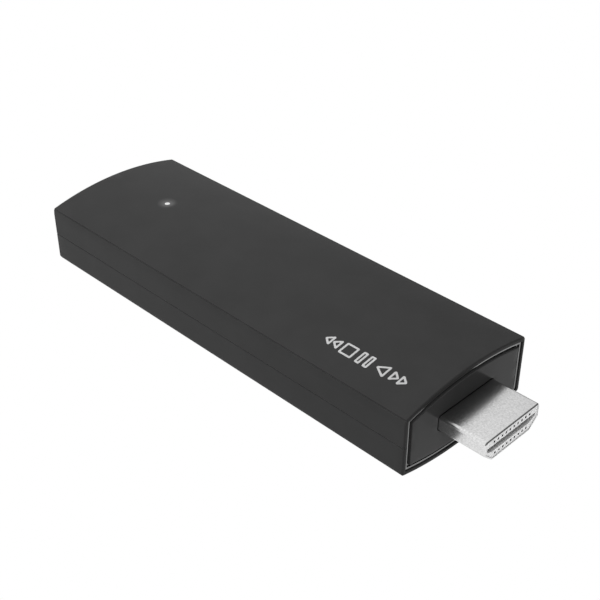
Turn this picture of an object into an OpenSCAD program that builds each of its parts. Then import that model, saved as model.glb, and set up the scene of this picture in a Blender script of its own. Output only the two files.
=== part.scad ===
// HDMI streaming media player: a plug-in television stick with an arched case.
// +X points out of the plug, +Z is up. The origin is under the middle of the whole stick,
// on the plane that its underside touches. All sizes are in millimetres.

/* [Body] */
// Length of the case without the plug
body_len = 90; // [86:1:100]
// Width of the case across its flat long sides
body_w = 30; // [29:0.5:33]
// Height of the case between the crowns of its two arches
body_h = 15; // [15:0.25:17]
// Rise of the arched top and of the arched underside
arch_rise = 2; // [1.5:0.25:2.25]
// Thickness of the case walls
wall = 1.2; // [1.1:0.1:1.3]
// Thickness of the case rim around the front end
rim = 0.75; // [0.7:0.05:1]
// Width of the accent ring between the rim and the end plate
ring_w = 0.95; // [0.6:0.05:1]
// Depth of the accent ring's face behind the rim
ring_recess = 0.2; // [0.1:0.05:0.5]

/* [Plug] */
// Length of the plug that stands out of the end plate
plug_len = 9; // [9:0.1:10]
// Width of the plug across its wide upper side
plug_w = 13.9; // [13.9:0.01:13.95]
// Height of the plug
plug_h = 4.45; // [4.4:0.01:4.55]
// Width of the plug's narrow lower face
plug_foot_w = 9.7; // [9.5:0.1:10.4]
// Height of the plug's straight side walls
plug_side_h = 2.55; // [2.4:0.05:3.1]
// Sheet thickness of the plug shell
plug_sheet = 0.3; // [0.25:0.01:0.32]
// Spacing of the contacts in one row
contact_pitch = 1; // [1:0.5:1]
// Contacts in the upper row
upper_contacts = 10; // [10:1:10]
// Contacts in the lower row
lower_contacts = 9; // [9:1:9]

/* [Power inlet] */
// Width of the power inlet's shell
inlet_w = 8.94; // [8.9:0.01:9]
// Height of the power inlet's shell
inlet_h = 3.16; // [3.12:0.01:3.2]
// Distance of the power inlet's centre from the back end
inlet_from_back = 15.5; // [15:0.5:16]

/* [Reset button] */
// Diameter of the reset button
button_d = 2.1; // [1.8:0.1:2.2]
// Radial clearance of the reset button in its bore
button_play = 0.08; // [0.05:0.01:0.1]
// Distance of the reset button's centre from the back end
button_from_back = 34.5; // [34:0.5:35]

/* [Status light] */
// Diameter of the light pipe where it shows
light_d = 1; // [0.8:0.1:1.2]
// Diameter of the shallow dish around the light
dish_d = 2.8; // [2.4:0.1:3.2]
// Distance of the light from the back end
light_from_back = 16.8; // [16:0.2:18]

/* [Hidden] */
// Stations along the stick
x_tip = (body_len + plug_len) / 2;
x_front = x_tip - plug_len;
x_back = -x_tip;
far = 200;
fit_gap = 0.03;
smooth = 180;

// Section of the case: two arches cut from the same cylinder, and a seam at half height
arch_r = (body_w * body_w / 4 + arch_rise * arch_rise) / (2 * arch_rise);
seam_z = body_h / 2;
crown_in_z = body_h - wall;
side_in_y = body_w / 2 - wall;

// Lap joint between the two halves
lap = wall / 2;
lip_h = 0.6;

// End plate, its flange and the rib that it rests against
flange_t = 1.2;
plate_step_x = x_front - 1.6;
flange_x = plate_step_x - flange_t;
stop_rib_t = 1;
stop_rib_h = 1.2;

// Board
board_t = 1;
board_z = 6.35;
board_top = board_z + board_t;
board_mid = board_z + board_t / 2;
board_x0 = x_back + 3.2;
board_x1 = x_front - 9;
board_w = 24.8;

// Plug
plug_top_z = seam_z + 1.61;
plug_bottom_z = plug_top_z - plug_h;
plug_chamfer_z = plug_top_z - plug_side_h;
plug_back_x = x_front - 8;
plug_corner_r = 0.6;
plug_hole_gap = 0.1;
chamfer_dy = (plug_w - plug_foot_w) / 2;
chamfer_dz = plug_chamfer_z - plug_bottom_z;
chamfer_len = sqrt(chamfer_dy * chamfer_dy + chamfer_dz * chamfer_dz);
leg_len = 5.5;
leg_h = 1.25;

// Plug insert: the slot for the mating tongue and the contact holes beside it
insert_setback = 0.15;
slot_top_z = seam_z + 0.05;
slot_bottom_z = seam_z - 1.3;
slot_top_w = 12.5;
slot_side_z = seam_z - 0.75;
slot_side_w = 12.2;
slot_bottom_w = 9.4;
slot_depth = 11.3;
row_rise = 1.24;
row_z = board_mid + row_rise;
hole_w = 0.45;
hole_h = 0.5;
lip_depth = 0.8;
channel_len = 5.6;

// Contact blades
blade_w = 0.3;
blade_t = 0.2;
blade_tip_setback = 1.7;

// Screws, posts and board holes
screw_r = 0.69;
pilot_r = 0.7;
board_hole_r = 0.9;
post_r = 1.9;
post_floor_z = 0.6;
screw_head_r = 1.4;
screw_head_h = 1;
screw_len = 4.6;
screw_y = 10;
screw_xs = [x_back + 25.5, x_front - 13.2];

// Upper heat spreader and its feet
spreader_w = 18;
spreader_t = 1;
spreader_z = 11.2;
foot_w = 4.4;
foot_t = 0.6;
foot_y0 = 7.4;
foot_y1 = 12;

// Lower heat spreader on two floor ribs
low_spreader_z = 2.6;
low_spreader_t = 0.8;
low_spreader_w = 16;
low_spreader_x0 = -12;
low_spreader_x1 = 22;
floor_rib_y = 6.5;
floor_rib_w = 1;

// Shield over the processor and memory
shield_x0 = -14;
shield_x1 = 24;
shield_w = 22;
shield_sheet = 0.2;
shield_frame_h = 1.85;
shield_lid_top = board_top + 2.25;
shield_skirt = 1.5;

// Chips: [length, width, height]
processor_size = [13, 13, 1];
processor_x = -5.5;
memory_size = [11, 7.5, 0.9];
memory_x = 9.5;
memory_y = 4.75;
flash_size = [11.5, 13, 1];
flash_x = -2.25;
power_chip_size = [6, 6, 0.85];
power_chip_x = -28;
wireless_size = [12, 12, 1.7];
wireless_x = -22.5;
crystal_size = [3.2, 2.5, 0.7];
crystal_x = 19.1;
surge_size = [1, 2.5, 0.6];
surge_x = 26;
surge_ys = [-4, 0, 4];
inductor_size = [4, 4, 1.8];
inductor_x = -20;
inductor_ys = [-7, -1.5, 4];
capacitor_size = [0.8, 1.6, 0.8];
resistor_size = [0.5, 1, 0.35];

// Antennas: stamped plates on two legs at the back corners
antenna_len = 11.5;
antenna_w = 4;
antenna_sheet = 0.3;
antenna_z = 10.2;
antenna_y = 10.2;
antenna_x = x_back + 8;
antenna_leg_w = 0.8;

// Power inlet, on the board's underside at the right-hand wall
inlet_x = x_back + inlet_from_back;
inlet_z = board_z - inlet_h / 2;
inlet_sheet = 0.3;
inlet_mouth_y = body_w / 2 - 0.3;
inlet_depth = 7.3;
inlet_hole_gap = 0.2;
tongue_w = 6.69;
tongue_t = 0.7;
tongue_setback = 0.7;
inlet_base_len = 1.8;
inlet_pitch = 0.5;
inlet_contact_w = 0.25;
inlet_contact_t = 0.08;
inlet_contacts_per_side = 12;

// Side-push switch and reset button
button_x = x_back + button_from_back;
switch_size = [4, 3, 2];
switch_front_y = 12;
button_z = board_z - switch_size[2] / 2;
plunger_w = 2;
plunger_h = 0.9;
plunger_play = 0.1;
plunger_back_y = 11.4;
button_travel = 0.3;
plunger_room = button_travel + 0.3;
button_r = button_d / 2;
button_flange_r = 1.6;
button_flange_t = 0.55;
button_flange_y = side_in_y - 0.05;
button_face_y = body_w / 2 - 0.1;

// Light pipe under the dish in the top case
light_x = x_back + light_from_back;
light_pipe_r = 1.1;
light_boss_r = 1.9;
light_boss_z = 9.6;
light_pipe_z = board_top + 0.8;
dish_depth = 0.12;
dish_r = (dish_d * dish_d / 4 + dish_depth * dish_depth) / (2 * dish_depth);
led_size = [1.6, 0.8, 0.6];

// ---- shared shapes ----

// Outline of the case in Y and Z, moved inwards by inset
module body_outline(inset) {
    intersection() {
        translate([-(body_w / 2 - inset), 0]) square([body_w - 2 * inset, body_h]);
        translate([0, arch_r]) circle(arch_r - inset, $fn = smooth);
        translate([0, body_h - arch_r]) circle(arch_r - inset, $fn = smooth);
    }
}

// Extrudes an outline drawn in Y and Z from x0 to x1
module along_x(x0, x1) {
    translate([x0, 0, 0]) rotate([90, 0, 90]) linear_extrude(x1 - x0) children();
}

// Extrudes an outline drawn in X and Z to a width centred on y
module across_y(y, width) {
    translate([0, y, 0]) rotate([90, 0, 0]) linear_extrude(width, center = true) children();
}

module body_slab(x0, x1, inset) {
    along_x(x0, x1) body_outline(inset);
}

// Everything between two heights
module level(z0, z1) {
    translate([-far, -far, z0]) cube([2 * far, 2 * far, z1 - z0]);
}

// Box with its centre at x and y and its underside at z
module block(size, x, y, z) {
    translate([x - size[0] / 2, y - size[1] / 2, z]) cube(size);
}

// D-shaped outline of the plug in Y and Z, moved inwards by inset
module plug_outline(inset) {
    half = plug_w / 2 - inset;
    foot = plug_foot_w / 2 - inset * (chamfer_len - chamfer_dy) / chamfer_dz;
    shoulder_z = plug_chamfer_z + inset * (chamfer_len - chamfer_dz) / chamfer_dy;
    top_z = plug_top_z - inset;
    bottom_z = plug_bottom_z + inset;
    corner = plug_corner_r - inset;
    polygon([[-half, shoulder_z], [-foot, bottom_z], [foot, bottom_z], [half, shoulder_z],
             [half, top_z - corner], [-half, top_z - corner]]);
    translate([corner - half, top_z - 2 * corner]) square([2 * (half - corner), 2 * corner]);
    for (side = [-1, 1])
        translate([side * (half - corner), top_z - corner]) circle(corner, $fn = 48);
}

// Oblong outline with round ends, in X and Z
module oblong(width, height) {
    square([width - height, height], center = true);
    for (side = [-1, 1])
        translate([side * (width - height) / 2, 0]) circle(height / 2, $fn = 64);
}

// Extrudes an outline that is centred on the power inlet from y0 to y1
module along_inlet(y0, y1) {
    translate([inlet_x, y1, inlet_z]) rotate([90, 0, 0]) linear_extrude(y1 - y0) children();
}

// Cylinder along Y on the reset button's axis
module button_rod(r, y0, y1) {
    translate([button_x, y1, button_z]) rotate([90, 0, 0]) cylinder(h = y1 - y0, r = r, $fn = 64);
}

// Places its children at the four screws
module at_screws() {
    for (x = screw_xs)
        for (side = [-1, 1])
            translate([x, side * screw_y, 0]) children();
}

// ---- case ----

// Walls of the whole case before it is split: hollow, open in front, with a rebated mouth
module case_walls() {
    difference() {
        body_slab(x_back, x_front, 0);
        body_slab(x_back + wall, x_front + 1, wall);
        body_slab(plate_step_x, x_front + 1, rim);
    }
    difference() {
        body_slab(flange_x - stop_rib_t, flange_x, wall / 2);
        body_slab(flange_x - 2 * stop_rib_t, flange_x + stop_rib_t, wall + stop_rib_h);
    }
}

// Band of the lap joint at a given inset and depth below the seam
module lap_band(inset, depth) {
    intersection() {
        body_slab(x_back + inset, flange_x - 2 * stop_rib_t + lap - inset, inset);
        level(seam_z - depth, seam_z);
    }
}

module top_case() {
    color("#2c2c2e") difference() {
        union() {
            intersection() {
                case_walls();
                level(seam_z, body_h);
            }
            difference() {
                lap_band(lap + fit_gap, lip_h);
                body_slab(x_back + wall, x_front, wall);
            }
            intersection() {
                translate([light_x, 0, light_boss_z])
                    cylinder(h = far, r = light_boss_r, $fn = 64);
                body_slab(x_back, x_front, wall / 2);
            }
        }
        translate([light_x, 0, light_boss_z - 1])
            cylinder(h = crown_in_z - light_boss_z + 1, r = light_pipe_r + fit_gap, $fn = 64);
        translate([light_x, 0, seam_z])
            cylinder(h = body_h, r = light_d / 2 + fit_gap, $fn = 64);
        translate([light_x, 0, body_h - dish_depth + dish_r]) sphere(dish_r, $fn = smooth);
    }
}

module bottom_case() {
    color("#2c2c2e") difference() {
        union() {
            difference() {
                intersection() {
                    case_walls();
                    level(0, seam_z);
                }
                lap_band(lap, lip_h + fit_gap);
            }
            intersection() {
                union() {
                    at_screws() cylinder(h = board_z, r = post_r, $fn = 64);
                    for (side = [-1, 1])
                        translate([low_spreader_x0, side * floor_rib_y - floor_rib_w / 2, 0])
                            cube([low_spreader_x1 - low_spreader_x0, floor_rib_w, low_spreader_z]);
                }
                body_slab(x_back, x_front, wall / 2);
            }
        }
        at_screws() translate([0, 0, board_top + foot_t - screw_len - 0.4])
            cylinder(h = far, r = pilot_r, $fn = 48);
        along_inlet(side_in_y - 1, far)
            oblong(inlet_w + 2 * inlet_hole_gap, inlet_h + 2 * inlet_hole_gap);
        button_rod(button_r + button_play, side_in_y - 1, far);
    }
}

module end_plate() {
    color("#343436") difference() {
        union() {
            body_slab(flange_x, plate_step_x, wall + fit_gap);
            body_slab(flange_x, x_front, rim + ring_w);
        }
        along_x(flange_x - 1, x_front + 1) plug_outline(-plug_hole_gap);
    }
}

module accent_ring() {
    color("#9a9a9e") difference() {
        body_slab(plate_step_x, x_front - ring_recess, rim + fit_gap);
        body_slab(plate_step_x - 1, x_front, rim + ring_w - fit_gap);
    }
}

// ---- plug ----

module plug_shell() {
    leg_y = plug_w / 2 - plug_sheet;
    color("#c8c8c8") {
        difference() {
            along_x(plug_back_x, x_tip) plug_outline(0);
            along_x(plug_back_x - 1, x_tip + 1) plug_outline(plug_sheet);
        }
        for (side = [0, 1])
            mirror([0, side, 0])
                translate([plug_back_x - leg_len, leg_y, board_top])
                    cube([leg_len + 1, plug_sheet, leg_h]);
    }
}

// Hole for one contact: narrow behind, open to the slot in the middle, a small window in front
module contact_hole(y) {
    x_face = x_tip - insert_setback;
    block([far, hole_w, hole_h], x_face - far / 2 + 1, y, row_z - hole_h / 2);
    translate([x_face - lip_depth - channel_len, y - hole_w / 2, board_mid])
        cube([channel_len, hole_w, row_z - board_mid]);
}

function row_offset(i, count) = (i - (count - 1) / 2) * contact_pitch;

module plug_insert() {
    x_face = x_tip - insert_setback;
    color("#d2d2d2") difference() {
        along_x(plug_back_x, x_face) plug_outline(plug_sheet + fit_gap);
        along_x(x_face - slot_depth, x_tip)
            polygon([[-slot_top_w / 2, slot_top_z], [-slot_side_w / 2, slot_side_z],
                     [-slot_bottom_w / 2, slot_bottom_z], [slot_bottom_w / 2, slot_bottom_z],
                     [slot_side_w / 2, slot_side_z], [slot_top_w / 2, slot_top_z]]);
        for (i = [0 : upper_contacts - 1])
            contact_hole(row_offset(i, upper_contacts));
        flip_over_board()
            for (i = [0 : lower_contacts - 1])
                contact_hole(row_offset(i, lower_contacts));
    }
}

// Mirrors the upper contact row into the lower one
module flip_over_board() {
    translate([0, 0, 2 * board_mid]) mirror([0, 0, 1]) children();
}

// One contact: a tail on the board, a rise to the row, a straight run and a bowed spring tip
module contact_blade(y) {
    tail_z = board_top + blade_t / 2;
    x_end = x_tip - blade_tip_setback;
    path = [[board_x1 - 1.8, tail_z], [board_x1 - 0.4, tail_z], [board_x1 + 0.6, row_z],
            [x_end - 4.2, row_z], [x_end - 2, row_z - 0.62], [x_end, row_z - 0.1]];
    last = len(path) - 1;
    across_y(y, blade_w)
        polygon(concat([for (p = path) p + [0, blade_t / 2]],
                       [for (i = [0 : last]) path[last - i] - [0, blade_t / 2]]));
}

module plug_contacts_upper() {
    color("#d4af6a")
        for (i = [0 : upper_contacts - 1])
            contact_blade(row_offset(i, upper_contacts));
}

module plug_contacts_lower() {
    color("#d4af6a") flip_over_board()
        for (i = [0 : lower_contacts - 1])
            contact_blade(row_offset(i, lower_contacts));
}

// ---- board and what is soldered to it ----

module main_board() {
    color("#1f4a33") difference() {
        translate([board_x0, -board_w / 2, board_z]) cube([board_x1 - board_x0, board_w, board_t]);
        at_screws() cylinder(h = body_h, r = board_hole_r, $fn = 48);
    }
}

module on_board(size, x, y) {
    block(size, x, y, board_top);
}

module under_board(size, x, y) {
    block(size, x, y, board_z - size[2]);
}

module processor() {
    color("#202022") on_board(processor_size, processor_x, 0);
}

module memory_chip_left() {
    color("#202022") on_board(memory_size, memory_x, -memory_y);
}

module memory_chip_right() {
    color("#202022") on_board(memory_size, memory_x, memory_y);
}

module flash_chip() {
    color("#202022") under_board(flash_size, flash_x, 0);
}

module power_chip() {
    color("#202022") under_board(power_chip_size, power_chip_x, 0);
}

module wireless_module() {
    color("#b9b9bc") on_board(wireless_size, wireless_x, 0);
}

module crystal() {
    color("#c9c9cc") on_board(crystal_size, crystal_x, 0);
}

module inductors() {
    color("#4a4a4c")
        for (y = inductor_ys)
            under_board(inductor_size, inductor_x, y);
}

module surge_arrays() {
    color("#202022")
        for (y = surge_ys)
            on_board(surge_size, surge_x, y);
}

// Two rows beside the radio module and two rows under the memory
module capacitors() {
    color("#a58a63") {
        for (side = [-1, 1])
            for (i = [0 : 3])
                on_board(capacitor_size, wireless_x + 3 + 1.4 * i, side * 9);
        for (side = [-1, 1])
            for (i = [0 : 4])
                under_board(capacitor_size, memory_x - 1 + 2.2 * i, side * 3);
    }
}

// Two rows behind the status light and one row behind the plug
module resistors() {
    color("#303032") {
        for (side = [-1, 1])
            for (i = [0 : 3])
                on_board(resistor_size, light_x - 3 + 1.1 * i, side * 3);
        for (i = [0 : 5])
            under_board(resistor_size, surge_x, 1.6 * (i - 2.5));
    }
}

module shield_frame() {
    size_x = shield_x1 - shield_x0;
    mid_x = (shield_x0 + shield_x1) / 2;
    color("#bdbdbf") difference() {
        on_board([size_x, shield_w, shield_frame_h], mid_x, 0);
        block([size_x - 2 * shield_sheet, shield_w - 2 * shield_sheet, body_h], mid_x, 0, 0);
    }
}

module shield_lid() {
    gap = shield_sheet + 0.05;
    size_x = shield_x1 - shield_x0 + 2 * gap;
    size_y = shield_w + 2 * gap;
    mid_x = (shield_x0 + shield_x1) / 2;
    color("#c6c6c8") difference() {
        block([size_x, size_y, shield_skirt], mid_x, 0, shield_lid_top - shield_skirt);
        block([size_x - 2 * shield_sheet, size_y - 2 * shield_sheet, shield_skirt],
              mid_x, 0, shield_lid_top - shield_skirt - shield_sheet);
    }
}

module processor_pad() {
    z0 = board_top + processor_size[2];
    color("#8fa6b8") block([12, 12, shield_lid_top - shield_sheet - z0], processor_x, 0, z0);
}

module spreader_pad() {
    color("#8fa6b8") block([30, 15, spreader_z - shield_lid_top], 4, 0, shield_lid_top);
}

// Plate with four bent feet that the board screws hold down
module heat_spreader_top() {
    color("#b4b6b9") difference() {
        union() {
            translate([screw_xs[0] - foot_w / 2, -spreader_w / 2, spreader_z])
                cube([screw_xs[1] - screw_xs[0] + foot_w, spreader_w, spreader_t]);
            for (side = [0, 1])
                mirror([0, side, 0])
                    for (x = screw_xs) {
                        translate([x - foot_w / 2, foot_y0, board_top])
                            cube([foot_w, spreader_t, spreader_z - board_top + spreader_t]);
                        translate([x - foot_w / 2, foot_y0, board_top])
                            cube([foot_w, foot_y1 - foot_y0, foot_t]);
                    }
        }
        at_screws() cylinder(h = board_top + 2 * foot_t, r = board_hole_r, $fn = 48);
    }
}

module flash_pad() {
    z0 = low_spreader_z + low_spreader_t;
    color("#8fa6b8") block([10, 12, board_z - flash_size[2] - z0], flash_x, 0, z0);
}

module heat_spreader_bottom() {
    color("#b4b6b9") translate([low_spreader_x0, -low_spreader_w / 2, low_spreader_z])
        cube([low_spreader_x1 - low_spreader_x0, low_spreader_w, low_spreader_t]);
}

module board_screws() {
    head_z = board_top + foot_t;
    color("#a9a9ab") at_screws() difference() {
        union() {
            translate([0, 0, head_z - screw_len]) cylinder(h = screw_len + 0.1, r = screw_r, $fn = 48);
            translate([0, 0, head_z]) cylinder(h = screw_head_h, r = screw_head_r, $fn = 48);
        }
        for (turn = [0, 90])
            rotate([0, 0, turn]) block([1.8, 0.35, screw_head_h], 0, 0, head_z + 0.5);
    }
}

// Stamped plate on a feed leg and a ground leg
module antenna(side) {
    x0 = antenna_x - antenna_len / 2;
    color("#c9b27a") mirror([0, side, 0]) {
        translate([x0, antenna_y - antenna_w / 2, antenna_z])
            cube([antenna_len, antenna_w, antenna_sheet]);
        for (x = [x0 + antenna_len - antenna_leg_w, x0 + antenna_len - 3 * antenna_leg_w])
            translate([x, antenna_y - antenna_w / 2, board_top])
                cube([antenna_leg_w, antenna_sheet, antenna_z - board_top + antenna_sheet]);
    }
}

module antenna_left() {
    antenna(1);
}

module antenna_right() {
    antenna(0);
}

// ---- power inlet ----

module usb_shell() {
    color("#c2c2c4") difference() {
        along_inlet(inlet_mouth_y - inlet_depth, inlet_mouth_y) oblong(inlet_w, inlet_h);
        along_inlet(inlet_mouth_y - inlet_depth - 1, inlet_mouth_y + 1)
            oblong(inlet_w - 2 * inlet_sheet, inlet_h - 2 * inlet_sheet);
    }
}

module usb_tongue() {
    gap = inlet_sheet + fit_gap;
    back_y = inlet_mouth_y - inlet_depth;
    color("#1d1d1f") {
        along_inlet(back_y, back_y + inlet_base_len) oblong(inlet_w - 2 * gap, inlet_h - 2 * gap);
        along_inlet(back_y, inlet_mouth_y - tongue_setback) square([tongue_w, tongue_t], center = true);
    }
}

module usb_contacts() {
    y0 = inlet_mouth_y - inlet_depth + inlet_base_len;
    y1 = inlet_mouth_y - tongue_setback - 0.5;
    rise = (tongue_t + inlet_contact_t) / 2;
    color("#d4af6a")
        for (side = [-1, 1])
            for (i = [0 : inlet_contacts_per_side - 1])
                along_inlet(y0, y1)
                    translate([(i - (inlet_contacts_per_side - 1) / 2) * inlet_pitch, side * rise])
                        square([inlet_contact_w, inlet_contact_t], center = true);
}

// ---- status light ----

module status_led() {
    color("#f2f2ee") on_board(led_size, light_x, 0);
}

module light_pipe() {
    shoulder_z = crown_in_z - fit_gap;
    color("#f4f4f4") translate([light_x, 0, 0]) {
        translate([0, 0, light_pipe_z])
            cylinder(h = shoulder_z - light_pipe_z, r = light_pipe_r, $fn = 64);
        translate([0, 0, light_pipe_z])
            cylinder(h = body_h - dish_depth - light_pipe_z, r = light_d / 2, $fn = 64);
    }
}

// ---- reset button ----

module switch_body() {
    color("#2a2a2c") difference() {
        under_board(switch_size, button_x, switch_front_y - switch_size[1] / 2);
        translate([button_x - plunger_w / 2 - plunger_play, plunger_back_y - plunger_room,
                   button_z - plunger_h / 2 - plunger_play])
            cube([plunger_w + 2 * plunger_play, far, plunger_h + 2 * plunger_play]);
    }
}

module switch_plunger() {
    front_y = button_flange_y - button_flange_t;
    color("#dcdcd8") translate([button_x - plunger_w / 2, plunger_back_y, button_z - plunger_h / 2])
        cube([plunger_w, front_y - plunger_back_y, plunger_h]);
}

module reset_button() {
    color("#232325") {
        button_rod(button_flange_r, button_flange_y - button_flange_t, button_flange_y);
        button_rod(button_r, button_flange_y - button_flange_t, button_face_y);
    }
}

top_case();
bottom_case();
end_plate();
accent_ring();
plug_shell();
plug_insert();
plug_contacts_upper();
plug_contacts_lower();
main_board();
processor();
memory_chip_left();
memory_chip_right();
flash_chip();
power_chip();
wireless_module();
crystal();
inductors();
capacitors();
resistors();
surge_arrays();
shield_frame();
shield_lid();
processor_pad();
spreader_pad();
heat_spreader_top();
flash_pad();
heat_spreader_bottom();
antenna_left();
antenna_right();
usb_shell();
usb_tongue();
usb_contacts();
status_led();
light_pipe();
switch_body();
switch_plunger();
reset_button();
board_screws();
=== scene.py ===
import math

import bmesh
import bpy
import numpy as np
from mathutils import Matrix, Vector


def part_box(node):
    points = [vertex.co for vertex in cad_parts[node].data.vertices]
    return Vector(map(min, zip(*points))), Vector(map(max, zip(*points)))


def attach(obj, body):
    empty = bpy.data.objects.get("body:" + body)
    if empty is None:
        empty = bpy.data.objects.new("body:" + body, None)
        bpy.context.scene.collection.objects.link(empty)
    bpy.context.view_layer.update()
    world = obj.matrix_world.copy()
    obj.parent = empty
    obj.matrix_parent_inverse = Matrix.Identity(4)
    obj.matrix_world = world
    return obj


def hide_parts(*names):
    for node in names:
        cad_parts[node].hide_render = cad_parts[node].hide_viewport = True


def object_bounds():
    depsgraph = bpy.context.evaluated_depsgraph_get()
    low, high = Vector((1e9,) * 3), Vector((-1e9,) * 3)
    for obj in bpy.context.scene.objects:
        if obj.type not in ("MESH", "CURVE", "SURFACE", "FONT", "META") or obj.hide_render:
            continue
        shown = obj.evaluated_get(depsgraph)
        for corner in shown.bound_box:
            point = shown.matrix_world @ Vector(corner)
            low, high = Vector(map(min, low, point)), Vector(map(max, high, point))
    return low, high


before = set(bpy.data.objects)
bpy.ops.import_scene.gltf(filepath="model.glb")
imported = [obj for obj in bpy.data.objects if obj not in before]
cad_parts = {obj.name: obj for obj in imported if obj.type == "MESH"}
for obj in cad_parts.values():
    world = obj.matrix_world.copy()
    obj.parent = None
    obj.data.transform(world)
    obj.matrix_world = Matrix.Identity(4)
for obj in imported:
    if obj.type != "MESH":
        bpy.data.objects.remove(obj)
cad_low, cad_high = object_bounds()

# ---- sizes, in metres, from the frame where a node's box gives them ----

MM = 0.001
case_low, case_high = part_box("bottom_case")[0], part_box("top_case")[1]
plug_low, plug_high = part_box("plug_shell")
insert_low, insert_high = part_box("plug_insert")
ring_low, ring_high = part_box("accent_ring")
pipe_low, pipe_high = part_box("light_pipe")
button_low, button_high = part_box("reset_button")
inlet_low, inlet_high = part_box("usb_shell")

BACK_X, FRONT_X = case_low.x, case_high.x
HALF_W = case_high.y
SEAM_Z = (case_low.z + case_high.z) / 2
HALF_H = (case_high.z - case_low.z) / 2

WALL = 1.2 * MM
RIM = 0.75 * MM
RING_W = 0.95 * MM
FIT = 0.03 * MM
STEP_X = ring_low.x
FLANGE_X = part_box("end_plate")[0].x

EDGE_R = 0.3 * MM
BACK_EDGE_R = 0.2 * MM
ARCH_EDGE_R = 0.35 * MM
ARCH_LEAST_R = 0.05 * MM
FINE_EDGE = 0.08 * MM
SEAM_ROUND = 0.18 * MM
CREASE = 0.6
HELD_BELOW = 0.95 * MM
HELD_HALF = 3 * MM
BACK_ROOM, FRONT_ROOM = 0.6 * MM, 0.5 * MM
BACK_SPREAD = 0.4 * MM
STEP_HALF = 0.1 * MM

BEAD_W = 0.46 * MM
BEAD_R = 0.12 * MM
LEDGE_DEPTH = 0.3 * MM
RING_CORNER_R = 0.12 * MM
PLATE_CORNER_R, PLATE_FACE_CORNER_R = 0.25 * MM, 0.2 * MM
PLATE_EDGE_R = 0.12 * MM
FLANGE_CORNER_R = 0.1 * MM

PLUG_SHEET = 0.3 * MM
PLUG_SIDE_H = 2.55 * MM
PLUG_FOOT_HALF = 4.85 * MM
PLUG_BACK_X = insert_low.x
PLUG_HOLE_GAP = 0.1 * MM
PLUG_PLAIN = 2 * MM
PLUG_HEM = 0.05 * MM
PLUG_LEAST_R = 0.02 * MM

LIGHT_X = (pipe_low.x + pipe_high.x) / 2
LIGHT_R = 0.5 * MM
DISH_R = 1.4 * MM
DISH_DEPTH = 0.12 * MM
DOME_H, DOME_SINK = 0.06 * MM, 0.03 * MM
STEM_TOP, STEM_CHAMFER = 1.1 * MM, 0.1 * MM

BUTTON_X = (button_low.x + button_high.x) / 2
BUTTON_H = SEAM_Z - (button_low.z + button_high.z) / 2
BUTTON_R = 1.05 * MM
BUTTON_FLANGE_R = button_high.x - BUTTON_X
BUTTON_FLANGE_T = 0.55 * MM
BUTTON_BORE_R = BUTTON_R + 0.08 * MM
BUTTON_EDGE_R = 0.12 * MM
FLANGE_CHAMFER = 0.06 * MM
HOLLOW_R, HOLLOW_DEPTH = 0.8 * MM, 0.1 * MM

INLET_X = (inlet_low.x + inlet_high.x) / 2
INLET_H = SEAM_Z - (inlet_low.z + inlet_high.z) / 2
INLET_HALF_W = (inlet_high.x - inlet_low.x) / 2
INLET_R = (inlet_high.z - inlet_low.z) / 2
INLET_SHEET = 0.3 * MM
INLET_HOLE_R = INLET_R + 0.2 * MM


def flat_side_height(node):
    """Height above the seam of the highest corner that lies on the case's flat long side."""
    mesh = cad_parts[node].data
    corners = np.empty(len(mesh.vertices) * 3)
    mesh.vertices.foreach_get("co", corners)
    corners = corners.reshape(-1, 3)
    on_side = corners[:, 1] > HALF_W - FIT / 10
    return corners[on_side, 2].max() - SEAM_Z


SIDE_H = flat_side_height("top_case")
ARCH_RISE = HALF_H - SIDE_H
ARCH_R = (HALF_W ** 2 + ARCH_RISE ** 2) / (2 * ARCH_RISE)
ARCH_CENTRE = HALF_H - ARCH_R


# ---- small tools for arrays ----

SAME_LINE = 0.01 * MM
TINY = 1e-9


def quarter(steps):
    """Sine and one minus cosine of a quarter turn, for rounding an edge of unit radius."""
    turn = np.linspace(0, math.pi / 2, steps + 1)
    return np.sin(turn), 1 - np.cos(turn)


def smooth_step(t):
    """3 t^2 - 2 t^3, with t held between 0 and 1."""
    t = np.clip(t, 0, 1)
    return t * t * (3 - 2 * t)


def lines(*groups):
    """All the grid lines of several groups, in order, without those within SAME_LINE of the last."""
    merged = np.sort(np.concatenate([np.atleast_1d(g) for g in groups]))
    apart = np.concatenate([[True], np.diff(merged) > SAME_LINE])
    return merged[apart]


def around(centre, half_flat, radii, inside=8):
    """Grid lines for an oblong hole: at every radius on both sides, and evenly inside the smallest."""
    reach = half_flat + np.asarray(radii)
    ends = half_flat + min(radii) * np.linspace(0, 1, inside // 2, endpoint=False)
    flat = np.linspace(-half_flat, half_flat, 7)
    return lines(centre - reach, centre + reach, centre - ends, centre + ends, centre + flat)


def clear_of(values, centre, reach):
    """The values that lie further than reach from centre."""
    return values[np.abs(values - centre) > reach]


def split_edges(outline, parts):
    """Closed outline (C, 2) with every edge cut into equal parts."""
    share = np.arange(parts)[None, :, None] / parts
    ahead = np.roll(outline, -1, axis=0)
    return (outline[:, None] + (ahead - outline)[:, None] * share).reshape(-1, 2)


def round_the_squares(a, b, half_flat, full, out):
    """Turns the squares of a grid round a hole into circles, or into oblongs with a flat stretch.
    With s = max(|a|, |b|) and r = hypot(a, b), a point moves to (a, b) s / r where s < full,
    and the move fades out at s = out. Returns the moved a and b, and s."""
    core = np.clip(a, -half_flat, half_flat)
    end = a - core
    s = np.maximum(np.abs(end), np.abs(b))
    r = np.maximum(np.hypot(end, b), TINY)
    share = 1 - smooth_step((s - full) / (out - full))
    factor = 1 + share * (s / r - 1)
    return core + end * factor, b * factor, s


# ---- meshes from grids ----

def quads(a, b, c, d):
    """Stacks four index arrays into rows of four corners."""
    return np.stack([a.ravel(), b.ravel(), c.ravel(), d.ravel()], axis=1)


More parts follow.
